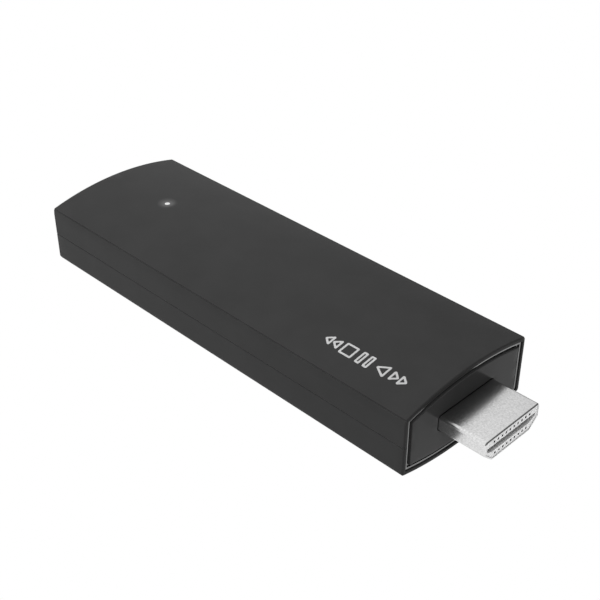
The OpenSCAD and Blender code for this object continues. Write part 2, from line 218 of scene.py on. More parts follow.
def loop_of_rows(rows):
    """Closed tube: rows is (R, C, 3), and both the last row and the last column join the first."""
    count_r, count_c = rows.shape[:2]
    ids = np.arange(count_r * count_c).reshape(count_r, count_c)
    down = np.roll(ids, -1, axis=0)
    faces = quads(ids, np.roll(ids, -1, axis=1), np.roll(down, -1, axis=1), down)
    return rows.reshape(-1, 3), faces


def turned_rows(rows):
    """Closed body of revolution: rows is (R, C, 3), columns join up, and the end rows are points."""
    count_r, count_c = rows.shape[:2]
    ids = np.arange(count_r * count_c).reshape(count_r, count_c)
    across = np.roll(ids, -1, axis=1)
    return rows.reshape(-1, 3), quads(ids[:-1], across[:-1], across[1:], ids[1:])


def walled_sheet(outer, inner, keep):
    """Closed wall between two grids (R, C, 3) that match point for point. keep is an (R-1, C-1) mask:
    cells left out are holes, and every open edge of the two skins is joined by a strip. The first
    row is no open edge, because its left half lies on its right half."""
    count_r, count_c = outer.shape[:2]
    ids = np.arange(count_r * count_c).reshape(count_r, count_c)
    under = count_r * count_c
    cells = quads(ids[:-1, :-1], ids[:-1, 1:], ids[1:, 1:], ids[1:, :-1])[keep.ravel()]
    rim = np.pad(keep, 1)
    along_row = rim[1:, 1:-1] != rim[:-1, 1:-1]
    along_col = rim[1:-1, 1:] != rim[1:-1, :-1]
    along_row[0] = False
    row_a, row_b = ids[:, :-1][along_row], ids[:, 1:][along_row]
    col_a, col_b = ids[:-1, :][along_col], ids[1:, :][along_col]
    start, end = np.concatenate([row_a, col_a]), np.concatenate([row_b, col_b])
    strips = quads(start, end, end + under, start + under)
    points = np.concatenate([outer.reshape(-1, 3), inner.reshape(-1, 3)])
    return points, np.concatenate([cells, cells[:, ::-1] + under, strips])


SAME_POINT, NO_LENGTH = 1e-7, 1e-8


def finish_piece(name, shape, body, material, stands_for=(), sharp_above=40):
    """Makes the mesh from (points, faces), joins doubled points, turns the faces outwards, hands
    the piece to its body, and hides the CAD nodes that it stands for."""
    points, faces = shape
    mesh = bpy.data.meshes.new(name)
    mesh.from_pydata(points, [], faces.tolist())
    work = bmesh.new()
    work.from_mesh(mesh)
    bmesh.ops.remove_doubles(work, verts=work.verts, dist=SAME_POINT)
    bmesh.ops.dissolve_degenerate(work, edges=work.edges, dist=NO_LENGTH)
    used = {v for f in work.faces for v in f.verts}
    bmesh.ops.delete(work, geom=[v for v in work.verts if v not in used], context="VERTS")
    bmesh.ops.recalc_face_normals(work, faces=work.faces)
    work.to_mesh(mesh)
    work.free()
    mesh.shade_smooth()
    mesh.set_sharp_from_angle(angle=math.radians(sharp_above))
    piece = bpy.data.objects.new(name, mesh)
    bpy.context.scene.collection.objects.link(piece)
    even = piece.modifiers.new("even_shading", "WEIGHTED_NORMAL")
    even.keep_sharp = True
    mesh.materials.append(material)
    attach(piece, body)
    if stands_for:
        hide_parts(*stands_for)
    return piece


# ---- materials ----

EVEN = (1, 1, 1)
ALONG_X = (0.06, 1, 1)
ALONG_Y = (1, 0.06, 1)

# Painted halo of lamp light on the top's plastic: its strength at the window, and its reach.
GLOW_REACH = 2.2 * MM
GLOW_NEAR = 0.10
PLUG_MID_Z = (plug_low.z + plug_high.z) / 2
WINDOWS_OFF = 0.95 * MM
# Painted shade: the tones down in the insert's slot and contact windows, darker than its face.
WINDOW_PAINTED_SHADE, SLOT_PAINTED_SHADE = 0.004, 0.38
FACE_TONES = (0.86, 0.92)
FACE_FROM, FACE_TO = 0.12 * MM, 0.02 * MM


def blank_material(name):
    material = bpy.data.materials.new(name)
    material.use_nodes = True
    tree = material.node_tree
    shader = tree.nodes["Principled BSDF"]
    return material, tree, shader


def place_coords(tree, stretch=(1, 1, 1)):
    """Object coordinates, stretched along the axes where a finish has a direction."""
    coords = tree.nodes.new("ShaderNodeTexCoord")
    mapping = tree.nodes.new("ShaderNodeMapping")
    mapping.inputs["Scale"].default_value = stretch
    tree.links.new(coords.outputs["Object"], mapping.inputs["Vector"])
    return mapping.outputs["Vector"]


def noise(tree, coords, size, detail=2.0, rough=0.5):
    """Noise whose blobs are about size metres across."""
    node = tree.nodes.new("ShaderNodeTexNoise")
    node.inputs["Scale"].default_value = 1 / size
    node.inputs["Detail"].default_value = detail
    node.inputs["Roughness"].default_value = rough
    tree.links.new(coords, node.inputs["Vector"])
    return node.outputs["Fac"]


def spread(tree, value, low, high, start=0.3, end=0.7):
    """Maps a noise value between start and end onto low to high."""
    node = tree.nodes.new("ShaderNodeMapRange")
    node.inputs["From Min"].default_value = start
    node.inputs["From Max"].default_value = end
    node.inputs["To Min"].default_value = low
    node.inputs["To Max"].default_value = high
    tree.links.new(value, node.inputs["Value"])
    return node.outputs["Result"]


def two_tone(tree, value, dark, light, start=0.3, end=0.7):
    """Colour between two tones, by a noise value."""
    ramp = tree.nodes.new("ShaderNodeValToRGB")
    ramp.color_ramp.elements[0].position = start
    ramp.color_ramp.elements[1].position = end
    ramp.color_ramp.elements[0].color = (*dark, 1)
    ramp.color_ramp.elements[1].color = (*light, 1)
    tree.links.new(value, ramp.inputs["Fac"])
    return ramp.outputs["Color"]


def bump(tree, shader, height, depth, strength=1.0, under=None):
    """Relief of the given depth in metres. under is another bump that it lies on."""
    node = tree.nodes.new("ShaderNodeBump")
    node.inputs["Strength"].default_value = strength
    node.inputs["Distance"].default_value = depth
    tree.links.new(height, node.inputs["Height"])
    if under is not None:
        tree.links.new(under, node.inputs["Normal"])
    tree.links.new(node.outputs["Normal"], shader.inputs["Normal"])
    return node.outputs["Normal"]


def moulded(name, dark, light, rough, grain, relief, ior=1.5, blotch=6 * MM):
    """Moulded plastic: faint flow blotches in the tone, and an even spark-eroded grain."""
    material, tree, shader = blank_material(name)
    coords = place_coords(tree)
    grit = noise(tree, coords, grain, 3.0, 0.6)
    tree.links.new(two_tone(tree, noise(tree, coords, blotch), dark, light),
                   shader.inputs["Base Color"])
    tree.links.new(spread(tree, grit, rough[0], rough[1]), shader.inputs["Roughness"])
    shader.inputs["IOR"].default_value = ior
    bump(tree, shader, grit, relief, 0.6)
    return material


def metal(name, dark, light, rough, grain, stretch, relief, blotch=5 * MM):
    """Sheet metal: rolled or brushed lines along one way, and faint clouding of the plating."""
    material, tree, shader = blank_material(name)
    lined = noise(tree, place_coords(tree, stretch), grain, 4.0, 0.6)
    clouds = noise(tree, place_coords(tree), blotch, 2.0)
    tree.links.new(two_tone(tree, clouds, dark, light), shader.inputs["Base Color"])
    tree.links.new(spread(tree, lined, rough[0], rough[1]), shader.inputs["Roughness"])
    shader.inputs["Metallic"].default_value = 1.0
    bump(tree, shader, lined, relief, 0.5)
    return material


def grey(level):
    return (level, level, level)


def painted_lamp_halo(material):
    """Painted halo: the case plastic round the lamp's window glows, in place of the lamp's light
    falling there. It falls from GLOW_NEAR at the window to nothing at GLOW_REACH."""
    tree = material.node_tree
    shader = tree.nodes["Principled BSDF"]
    away, fade = tree.nodes.new("ShaderNodeVectorMath"), tree.nodes.new("ShaderNodeMapRange")
    away.operation, fade.interpolation_type = "DISTANCE", "SMOOTHSTEP"
    away.inputs[1].default_value = (LIGHT_X, 0, pipe_high.z)
    tree.links.new(place_coords(tree), away.inputs[0])
    fade.inputs["From Min"].default_value = 0
    fade.inputs["From Max"].default_value = GLOW_REACH
    fade.inputs["To Min"].default_value = GLOW_NEAR
    fade.inputs["To Max"].default_value = 0
    tree.links.new(away.outputs["Value"], fade.inputs["Value"])
    tree.links.new(fade.outputs["Result"], shader.inputs["Emission Color"])
    shader.inputs["Emission Strength"].default_value = 1.0
    return material


def insert_with_painted_shade(name):
    """Pale plug insert: light on its front face, with painted shade greyer down in the slot and nearly
    black down in the contact windows, which lie further than WINDOWS_OFF from the plug's middle height."""
    material, tree, shader = blank_material(name)
    coords, axes = place_coords(tree), tree.nodes.new("ShaderNodeSeparateXYZ")
    tree.links.new(coords, axes.inputs["Vector"])
    off = tree.nodes.new("ShaderNodeMath")
    off.operation = "COMPARE"
    off.inputs[1].default_value, off.inputs[2].default_value = PLUG_MID_Z, WINDOWS_OFF
    tree.links.new(axes.outputs["Z"], off.inputs[0])
    # Painted shade: the slot and the windows turn darker once they lie deeper behind the face.
    down = spread(tree, off.outputs["Value"], WINDOW_PAINTED_SHADE, SLOT_PAINTED_SHADE, 0, 1)
    tone = tree.nodes.new("ShaderNodeMapRange")
    tone.inputs["From Min"].default_value = insert_high.x - FACE_FROM
    tone.inputs["From Max"].default_value = insert_high.x - FACE_TO
    tree.links.new(axes.outputs["X"], tone.inputs["Value"])
    tree.links.new(down, tone.inputs["To Min"])
    cloud = noise(tree, coords, 0.5 * MM)
    tree.links.new(spread(tree, cloud, *FACE_TONES), tone.inputs["To Max"])
    tree.links.new(tone.outputs["Result"], shader.inputs["Base Color"])
    grit = noise(tree, coords, 0.09 * MM, 3.0, 0.6)
    tree.links.new(spread(tree, grit, 0.42, 0.52), shader.inputs["Roughness"])
    bump(tree, shader, grit, 0.003 * MM, 0.6)
    return material


# Dark and light tone, roughness, size of the grain, its depth, and refraction.
CASE_TONES = (grey(0.0195), grey(0.0217), (0.36, 0.50), 0.11 * MM, 0.006 * MM, 1.17)

case_plastic = moulded("case_plastic", *CASE_TONES)
# The top half's plastic carries a painted halo of lamp light round the light window.
painted_halo_top_plastic = painted_lamp_halo(moulded("case_top_plastic", *CASE_TONES))
plate_plastic = moulded("end_plate_plastic", grey(0.0340), grey(0.0365), (0.16, 0.22), 0.18 * MM,
                        0.0015 * MM, 1.165)
button_plastic = moulded("button_plastic", (0.020, 0.020, 0.021), (0.025, 0.025, 0.026),
                         (0.34, 0.44), 0.08 * MM, 0.002 * MM)
insert_plastic = insert_with_painted_shade("insert_plastic")
ink = moulded("mark_ink", grey(0.27), grey(0.31), (0.5, 0.6), 0.09 * MM, 0.001 * MM, 1.4)
ring_chrome = metal("ring_chrome", grey(0.21), grey(0.26), (0.12, 0.20), 0.08 * MM, EVEN, 0.0004 * MM)
plug_metal = metal("plug_metal", grey(0.68), grey(0.86), (0.17, 0.24), 0.16 * MM, EVEN, 0.005 * MM,
                   0.3 * MM)


# ---- outlines ----

CORNER_STEPS = 7
SIDE_LINES, ARCH_LINES, CAP_ROWS, LENGTH_ROWS = 7, 37, 7, 31
SEAM_CLEAR = 1.6 * SEAM_ROUND
LIGHT_RINGS = np.array([LIGHT_R + FIT, LIGHT_R + 0.12 * MM, 0.85 * MM, 1.1 * MM, 1.3 * MM,
                        DISH_R, DISH_R + 0.1 * MM, 1.9 * MM])
DISH_FULL, DISH_OUT = LIGHT_RINGS[-2:]
INLET_RINGS = INLET_HOLE_R + np.array([0, 0.12, 0.3, 0.55]) * MM
BUTTON_RINGS = BUTTON_BORE_R + np.array([0, 0.08, 0.3, 0.6]) * MM


def corner_of(inset, radius):
    """Where the flat side's edge rounding starts: its centre (y, height) and the angle at which it
    meets the arch, for the case's outline moved inwards by inset."""
    centre_y = HALF_W - inset - radius
    centre_h = ARCH_CENTRE + math.sqrt((ARCH_R - inset - radius) ** 2 - centre_y ** 2)
    return centre_y, centre_h, math.atan2(centre_y, centre_h - ARCH_CENTRE)


def section_lines(rings_h=(), rings_y=()):
    """Grid lines of a half section: heights up the flat side, and places across the arch."""
    _, top_h, angle = corner_of(0, ARCH_EDGE_R)
    sine, _ = quarter(4)
    eased = SEAM_ROUND * (1 - sine[::-1])
    side = np.linspace(SEAM_CLEAR, top_h, SIDE_LINES)[:-1]
    end_y = ARCH_R * math.sin(angle)
    arch = np.linspace(-end_y, end_y, ARCH_LINES)
    if len(rings_h):
        reach = max(rings_h) - min(rings_h)
        side = clear_of(side, (max(rings_h) + min(rings_h)) / 2, reach / 2)
    if len(rings_y):
        arch = clear_of(arch, 0, max(rings_y))
    return lines(eased, side, rings_h), lines(arch, rings_y)


def half_section(inset, radius, side_h, arch_y, crease=0):
    """(y, height) round the upper half of the case's outline moved inwards by inset, from one seam
    edge to the other: up the flat side, round a corner of the given radius, and over the arch
    h = centre + sqrt(R^2 - y^2). Heights and places keep their value away from the corner. The
    corner sinks into a fine groove: at share t of its turn, radius (1 - crease sin(pi t))."""
    _, full_h, full_angle = corner_of(0, ARCH_EDGE_R)
    centre_y, centre_h, angle = corner_of(inset, radius)
    full_y, end_y = ARCH_R * math.sin(full_angle), (ARCH_R - inset) * math.sin(angle)
    turn = np.linspace(math.pi / 2, angle, CORNER_STEPS + 1)[:-1]
    held_h = full_h - HELD_BELOW
    up = np.interp(side_h, [0, held_h, full_h], [0, held_h, centre_h])
    over = np.interp(arch_y, [-full_y, -HELD_HALF, HELD_HALF, full_y],
                     [-end_y, -HELD_HALF, HELD_HALF, end_y])
    over_h = ARCH_CENTRE + np.sqrt((ARCH_R - inset) ** 2 - over ** 2)
    sunk = radius * (1 - crease * np.sin(np.linspace(0, math.pi, CORNER_STEPS + 1)[1:-1]))
    y = np.concatenate([np.full(len(up), centre_y + radius), centre_y + sunk * np.sin(turn[1:])])
    h = np.concatenate([up, centre_h + sunk * np.cos(turn[1:])])
    return np.concatenate([-y, over, y[::-1]]), np.concatenate([h, over_h, h[::-1]])


def case_loop(inset, radius):
    """(y, z) once round the whole outline of the case moved inwards by inset."""
    side_h, arch_y = section_lines()
    y, h = half_section(inset, radius, side_h, arch_y)
    y, h = y[h > 0], h[h > 0]
    return np.concatenate([y, y[::-1]]), SEAM_Z + np.concatenate([h, -h[::-1]])


def rounded_corners(corners, radii, steps=6):
    """Closed outline through convex corners, each turned by an arc that touches both its edges.
    The arc's centre lies on the corner's bisector, radius / sin(half angle) from the corner."""
    before, after = np.roll(corners, 1, axis=0) - corners, np.roll(corners, -1, axis=0) - corners
    before /= np.linalg.norm(before, axis=1, keepdims=True)
    after /= np.linalg.norm(after, axis=1, keepdims=True)
    half = np.arccos(np.clip((before * after).sum(axis=1), -1, 1)) / 2
    bisector = before + after
    bisector /= np.linalg.norm(bisector, axis=1, keepdims=True)
    centres = corners + bisector * (radii / np.sin(half))[:, None]
    start = centres - edge_normal(before, bisector) * radii[:, None]
    end = centres - edge_normal(after, bisector) * radii[:, None]
    first, last = start - centres, end - centres
    sweep = (math.pi - 2 * half)[:, None]
    t = np.linspace(0, 1, steps + 1)[None, :]
    blend_a = np.sin((1 - t) * sweep) / np.sin(sweep)
    blend_b = np.sin(t * sweep) / np.sin(sweep)
    arcs = centres[:, None] + first[:, None] * blend_a[..., None] + last[:, None] * blend_b[..., None]
    return arcs.reshape(-1, 2)


def edge_normal(edge, bisector):
    """Unit normal of each edge, on the side that the bisector points to."""
    normal = np.stack([-edge[:, 1], edge[:, 0]], axis=1)
    side = np.sign((normal * bisector).sum(axis=1, keepdims=True))
    return normal * side


def moved_inwards(corners, inset):
    """Corners of a convex outline, given anticlockwise, with every edge moved inwards by inset."""
    edge = np.roll(corners, -1, axis=0) - corners
    edge /= np.linalg.norm(edge, axis=1, keepdims=True)
    inward = np.stack([-edge[:, 1], edge[:, 0]], axis=1)
    last = np.roll(inward, 1, axis=0)
    shared = 1 + (inward * last).sum(axis=1, keepdims=True)
    return corners + inset * (inward + last) / shared


PLUG_CORNERS = np.array([
    [-PLUG_FOOT_HALF, plug_low.z], [PLUG_FOOT_HALF, plug_low.z],
    [plug_high.y, plug_high.z - PLUG_SIDE_H], [plug_high.y, plug_high.z],
    [plug_low.y, plug_high.z], [plug_low.y, plug_high.z - PLUG_SIDE_H]])
PLUG_RADII = np.array([0.3, 0.3, 0.4, 0.6, 0.6, 0.4]) * MM


def plug_loop(inset):
    """(y, z) once round the D-shaped plug, moved inwards by inset."""
    corners = moved_inwards(PLUG_CORNERS, inset)
    outline = rounded_corners(corners, np.maximum(PLUG_RADII - inset, PLUG_LEAST_R))
    return outline[:, 0], outline[:, 1]


def inlet_loop(inset):
    """(x, z) once round the power inlet's shell, moved inwards by inset: two half circles."""
    radius = INLET_R - inset
    turn = np.linspace(0, math.pi, 25)
    flat = INLET_HALF_W - INLET_R
    x = np.concatenate([flat + radius * np.sin(turn), -flat - radius * np.sin(turn)])
    z = np.concatenate([radius * np.cos(turn), -radius * np.cos(turn)])
    return INLET_X + x, SEAM_Z - INLET_H + z


# ---- case ----

def rounded_edge(at, radius, steps=4):
    """Rows that turn from a face at `at` into the side: [(place, inset)] of a quarter circle that
    starts on the side, radius before `at`, and ends on the face."""
    sine, drop = quarter(steps)
    sign = 1 if radius > 0 else -1
    return [(at - radius * (1 - s), sign * radius * d) for s, d in zip(sine, drop)]


def case_rows(stations):
    """Rows of the outer and inner skin of a case half, as (x, inset, share of width) each.
    The rows start at the middle of the back wall, run along the case, and meet on the front rim."""
    cap = [((BACK_X, BACK_EDGE_R, share), (BACK_X + WALL, WALL, share))
           for share in np.linspace(0, 1, CAP_ROWS)[:-1]]
    back = [(x, inset, 1) for x, inset in rounded_edge(BACK_X, -BACK_EDGE_R)][::-1]
    back_in = [(BACK_X + WALL + shift, WALL, 1) for shift in np.linspace(0, BACK_SPREAD, len(back))]
    plain = stations[(stations > BACK_X + WALL + BACK_ROOM) & (stations < STEP_X - FRONT_ROOM)]
    along = [((x, 0, 1), (x, WALL, 1)) for x in plain]
    step = [((STEP_X - STEP_HALF, 0, 1), (STEP_X, WALL, 1)),
            ((STEP_X + STEP_HALF, 0, 1), (STEP_X, RIM, 1))]
    front = [(x, inset, 1) for x, inset in rounded_edge(FRONT_X, EDGE_R)]
    mouth = [(x, RIM - inset, 1) for x, inset in rounded_edge(FRONT_X, FINE_EDGE)]
    meet = [((FRONT_X, (EDGE_R + RIM - FINE_EDGE) / 2, 1),) * 2]
    return cap + list(zip(back, back_in)) + along + step + list(zip(front, mouth)) + meet


def case_skin(rows, side_h, arch_y, eased):
    """Grid (R, C, 3) of x, y and height over the seam for one skin of a case half. Near the seam
    the outer skin is eased inwards by a quarter circle of radius SEAM_ROUND: along X on the back
    wall, across the case on the sides, and in between on the rounded edge that joins them."""
    grid = []
    for x, inset, share in rows:
        radius = max(ARCH_EDGE_R - inset, ARCH_LEAST_R)
        y, h = half_section(inset, radius, side_h, arch_y, CREASE if eased else 0)
        depth = 1 - np.sqrt(1 - np.clip(1 - h / SEAM_ROUND, 0, 1) ** 2) if eased else 0 * h
        along = min(max((x - BACK_X) / BACK_EDGE_R, 0), 1)
        ease = SEAM_ROUND * depth
        grid.append(np.stack([x + ease * (1 - along), y * share - ease * along * np.sign(y), h], axis=1))
    return np.array(grid)


def case_half(name, upward, stations, rings_h, rings_y, shape_features):
    """One half of the case as a closed wall. upward is 1 for the top and -1 for the bottom."""
    side_h, arch_y = section_lines(rings_h, rings_y)
    rows = case_rows(stations)
    outer = case_skin([r[0] for r in rows], side_h, arch_y, True)
    inner = case_skin([r[1] for r in rows], side_h, arch_y, False)
    keep = shape_features(outer, inner, len(side_h) + CORNER_STEPS - 1)
    for skin in (outer, inner):
        skin[..., 2] = SEAM_Z + upward * skin[..., 2]
    plastic = painted_halo_top_plastic if upward > 0 else case_plastic
    return finish_piece(name, walled_sheet(outer, inner, keep), "stick", plastic,
                        (name.replace("_shell", "_case"),))


def top_features(outer, inner, side_count):
    """The dish around the status light: depth falls as 1 - (s / R)^2, and the light pipe's hole."""
    arch = slice(side_count, -side_count)
    for skin, is_outer in ((outer, True), (inner, False)):
        a, b = skin[:, arch, 0] - LIGHT_X, skin[:, arch, 1]
        new_a, new_b, s = round_the_squares(a, b, 0, DISH_FULL, DISH_OUT)
        moved, unmoved = ARCH_R ** 2 - new_b ** 2, ARCH_R ** 2 - b ** 2
        lift = np.sqrt(np.maximum(moved, 0)) - np.sqrt(np.maximum(unmoved, 0))
        near = s < DISH_OUT
        skin[:, arch, 0] = np.where(near, LIGHT_X + new_a, skin[:, arch, 0])
        skin[:, arch, 1] = np.where(near, new_b, skin[:, arch, 1])
        dish = DISH_DEPTH * np.clip(1 - (s / DISH_R) ** 2, 0, 1) if is_outer else 0
        skin[:, arch, 2] += np.where(near, lift, 0) - dish
        if is_outer:
            hole = s
    keep = np.ones((outer.shape[0] - 1, outer.shape[1] - 1), bool)
    inside = cell_max(hole) < LIGHT_R + 2 * FIT
    keep[:, side_count:side_count + inside.shape[1]] = ~inside
    return keep


def cell_max(values):
    """Largest of a grid's four corner values in each cell."""
    return np.maximum.reduce([values[:-1, :-1], values[1:, :-1], values[:-1, 1:], values[1:, 1:]])


def bottom_features(outer, inner, side_count):
    """The oblong hole of the power inlet and the round bore of the reset button, in the right side."""
    keep = np.ones((outer.shape[0] - 1, outer.shape[1] - 1), bool)
    side = slice(outer.shape[1] - side_count, None)
    openings = ((INLET_X, INLET_H, INLET_HALF_W - INLET_R, INLET_RINGS),
                (BUTTON_X, BUTTON_H, 0, BUTTON_RINGS))
    for centre_x, centre_h, half_flat, rings in openings:
        for skin in (outer, inner):
            a, b = skin[:, side, 0] - centre_x, skin[:, side, 2] - centre_h
            new_a, new_b, s = round_the_squares(a, b, half_flat, rings[1], rings[-1])
            near = (s < rings[-1]) & (skin[:, side, 0] > BACK_X + BACK_EDGE_R)
            near &= skin[:, side, 0] < STEP_X
            skin[:, side, 0] = np.where(near, centre_x + new_a, skin[:, side, 0])
            skin[:, side, 2] = np.where(near, centre_h + new_b, skin[:, side, 2])
            if skin is outer:
                chamfer = rings[1] - rings[0]
                skin[:, side, 1] -= np.where(near, np.clip(rings[1] - s, 0, chamfer), 0)
                hole = cell_max(np.where(near, s, 1)) < rings[0] + FIT / 3
        keep[:, keep.shape[1] - hole.shape[1]:] &= ~hole
    return keep


def case_top():
    coarse = np.linspace(BACK_X, FRONT_X, LENGTH_ROWS)
    near = around(LIGHT_X, 0, LIGHT_RINGS)
    stations = lines(clear_of(coarse, LIGHT_X, max(LIGHT_RINGS)), near)
    return case_half("top_shell", 1, stations, (), around(0, 0, LIGHT_RINGS), top_features)


def case_bottom():
    coarse = np.linspace(BACK_X, FRONT_X, LENGTH_ROWS)
    half_flat = INLET_HALF_W - INLET_R
    for_inlet, for_button = around(INLET_X, half_flat, INLET_RINGS), around(BUTTON_X, 0, BUTTON_RINGS)
    coarse = clear_of(coarse, INLET_X, half_flat + max(INLET_RINGS))
    coarse = clear_of(coarse, BUTTON_X, max(BUTTON_RINGS))
    rings_h = lines(around(INLET_H, 0, INLET_RINGS), around(BUTTON_H, 0, BUTTON_RINGS))
    top_h = corner_of(0, ARCH_EDGE_R)[1]
    rings_h = rings_h[(rings_h > SEAM_ROUND * 2) & (rings_h < top_h + FIT)]
    return case_half("bottom_shell", -1, lines(coarse, for_inlet, for_button), rings_h, (),
                     bottom_features)


# ---- front end ----

def at_angles(outline, angles, centre_z):
    """Points where rays from (0, centre_z) at the given angles cross a closed convex outline:
    with segment p to q and direction d, the distance is (p x (q - p)) / (d x (q - p))."""
    points = np.stack(outline, axis=1) - [0, centre_z]
    around_it = np.arctan2(points[:, 1], points[:, 0])
    points = points[np.argsort(around_it)]
    around_it = np.sort(around_it)
    first = (np.searchsorted(around_it, angles + TINY) - 1) % len(points)
    p, q = points[first], points[(first + 1) % len(points)]
    edge = q - p
    heading = np.stack([np.cos(angles), np.sin(angles)], axis=1)
    distance = (p[:, 0] * edge[:, 1] - p[:, 1] * edge[:, 0]) \
        / (heading[:, 0] * edge[:, 1] - heading[:, 1] * edge[:, 0])
    return heading * distance[:, None] + [0, centre_z]


def end_plate():
    """Plate with a D-shaped hole. Each row is an outline at one x, and every row is cut by the same
    rays from the plug's middle, so the face is ruled straight from the hole to the plate's edge."""
    outer_in = RIM + RING_W
    plate_edge, plug_hole = case_loop(outer_in, PLATE_CORNER_R), plug_loop(-PLUG_HOLE_GAP)
    angles = np.unique(np.round(np.concatenate([
        np.arctan2(plate_edge[1] - PLUG_MID_Z, plate_edge[0]),
        np.arctan2(plug_hole[1] - PLUG_MID_Z, plug_hole[0])]), 6))
    hole_edge = rounded_edge(FRONT_X, FINE_EDGE)
    rim_edge = rounded_edge(FRONT_X, PLATE_EDGE_R)[::-1]

    def row(x, outline):
        cut = at_angles(outline, angles, PLUG_MID_Z)
        return np.column_stack([np.full(len(cut), x), cut])

    rows = [row(FLANGE_X, plug_loop(-PLUG_HOLE_GAP))]
    rows += [row(x, plug_loop(-PLUG_HOLE_GAP - inset)) for x, inset in hole_edge]
    face_loop = case_loop(outer_in + PLATE_EDGE_R, PLATE_FACE_CORNER_R)
    inner_face, outer_face = rows[-1], row(FRONT_X, face_loop)
    rows += [inner_face + (outer_face - inner_face) * t for t in np.linspace(0, 1, 6)[1:-1]]
    rows += [row(x, case_loop(outer_in + inset, PLATE_CORNER_R)) for x, inset in rim_edge]
    flange_loop = case_loop(WALL + FIT, FLANGE_CORNER_R)
    rows += [row(STEP_X, plate_edge), row(STEP_X, flange_loop), row(FLANGE_X, flange_loop)]
    return finish_piece("end_cover", loop_of_rows(np.array(rows)), "stick",
                        plate_plastic, ("end_plate",))


def accent_ring():
    """Trim ring in the channel between the rim and the end plate: a bright bead with rounded edges
    along the rim, and a lower ledge that leaves a dark line along the plate."""
    low, high, face = RIM + FIT, RIM + RING_W - FIT, ring_high.x
    bead, ledge = low + BEAD_W, face - LEDGE_DEPTH
    fine = rounded_edge(face, BEAD_R)
    stations = [(STEP_X, low)] + [(x, low + inset) for x, inset in fine]
    stations += [(x, bead - inset) for x, inset in fine[::-1]]
    stations += [(ledge, bead), (ledge, high), (STEP_X, high)]
    rows = []
    for x, inset in stations:
        y, z = case_loop(inset, RING_CORNER_R)
        rows.append(np.stack([np.full(len(y), x), y, z], axis=1))
    return finish_piece("trim_ring", loop_of_rows(np.array(rows)), "stick",
                        ring_chrome, ("accent_ring",))


def plug_sleeve():
    """Plug shell: drawn sheet with its front edge rolled in, as outlines carried along X."""
    rolled = rounded_edge(plug_high.x, PLUG_SHEET, 6)
    hem = [(plug_high.x - PLUG_HEM, PLUG_SHEET)]
    stations = [(PLUG_BACK_X, 0), (PLUG_BACK_X + PLUG_PLAIN, 0)] + rolled
    stations += hem + [(PLUG_BACK_X, PLUG_SHEET)]
    rows = []
    for x, inset in stations:
        y, z = plug_loop(inset)
        rows.append(np.stack([np.full(len(y), x), y, z], axis=1))
    return finish_piece("plug_sleeve", loop_of_rows(np.array(rows)), "stick",
                        plug_metal, ("plug_shell",))


# ---- what the sides and the top show ----

def turned(profile, centre, axis, steps=48):
    """Body of revolution: profile is [(place along the axis, radius)], turned about an axis through
    centre, as centre + place * axis + radius * (cos t * across + sin t * up)."""
    axis = np.array(axis, float)
    across = np.array([axis[1], axis[2], axis[0]])
    up = np.cross(axis, across)
    turn = np.linspace(0, 2 * math.pi, steps, endpoint=False)
    place, radius = np.array(profile).T
    circle = np.cos(turn)[:, None] * across + np.sin(turn)[:, None] * up
    return np.array(centre) + place[:, None, None] * axis + radius[:, None, None] * circle


def reset_button():
    """Button with a flange inside the wall and a shallow hollow in its face, whose depth falls from
    the middle as 1 - (r / R)^2."""
    face = button_high.y
    hollow = [(face - HOLLOW_DEPTH * (1 - share ** 2), HOLLOW_R * share)
              for share in (1, 0.75, 0.5, 0.25)]
    edge = [(place, BUTTON_R - inset) for place, inset in rounded_edge(face, BUTTON_EDGE_R)]
    flange_y = button_low.y + BUTTON_FLANGE_T
    profile = [(button_low.y, 0), (button_low.y, BUTTON_FLANGE_R - FLANGE_CHAMFER),
               (button_low.y + FLANGE_CHAMFER, BUTTON_FLANGE_R),
               (flange_y - FLANGE_CHAMFER, BUTTON_FLANGE_R),
               (flange_y, BUTTON_FLANGE_R - FLANGE_CHAMFER), (flange_y, BUTTON_R)]
    profile += edge + hollow + [(face - HOLLOW_DEPTH, 0)]
    shape = turned_rows(turned(profile, (BUTTON_X, 0, SEAM_Z - BUTTON_H), (0, 1, 0)))
    return finish_piece("reset_key_cap", shape, "reset_key", button_plastic,
                        ("reset_button",))


def inlet_sleeve():
    """Power inlet's shell: an oblong sleeve with rounded lips, carried along Y."""
    lip = rounded_edge(inlet_high.y, INLET_SHEET / 2, 4)
    stations = [(inlet_low.y, 0)] + lip
    stations += [(y, INLET_SHEET - inset) for y, inset in lip[::-1]] + [(inlet_low.y, INLET_SHEET)]
    rows = []
    for y, inset in stations:
        x, z = inlet_loop(inset)
        rows.append(np.stack([x, np.full(len(x), y), z], axis=1))
    return finish_piece("inlet_sleeve", loop_of_rows(np.array(rows)), "stick",
                        tinned, ("usb_shell",))


def light_window():
    """Light pipe: a wide stem under the case, and a small domed end in the dish."""
    shoulder = pipe_high.z - STEM_TOP
    top = [(pipe_high.z - DOME_SINK + DOME_H * (1 - (r / LIGHT_R) ** 2), r)
           for r in LIGHT_R * np.array([1, 0.85, 0.6, 0.3, 0])]
    wide = pipe_high.x - LIGHT_X
    profile = [(pipe_low.z, 0), (pipe_low.z, wide - STEM_CHAMFER), (pipe_low.z + STEM_CHAMFER, wide),
               (shoulder - STEM_CHAMFER, wide), (shoulder, wide - STEM_CHAMFER), (shoulder, LIGHT_R)]
    profile += top
    shape = turned_rows(turned(profile, (LIGHT_X, 0, 0), (0, 0, 1), 32))
    return finish_piece("light_window", shape, "stick", lit_acrylic,
                        ("light_pipe",))


# ---- player signs ----

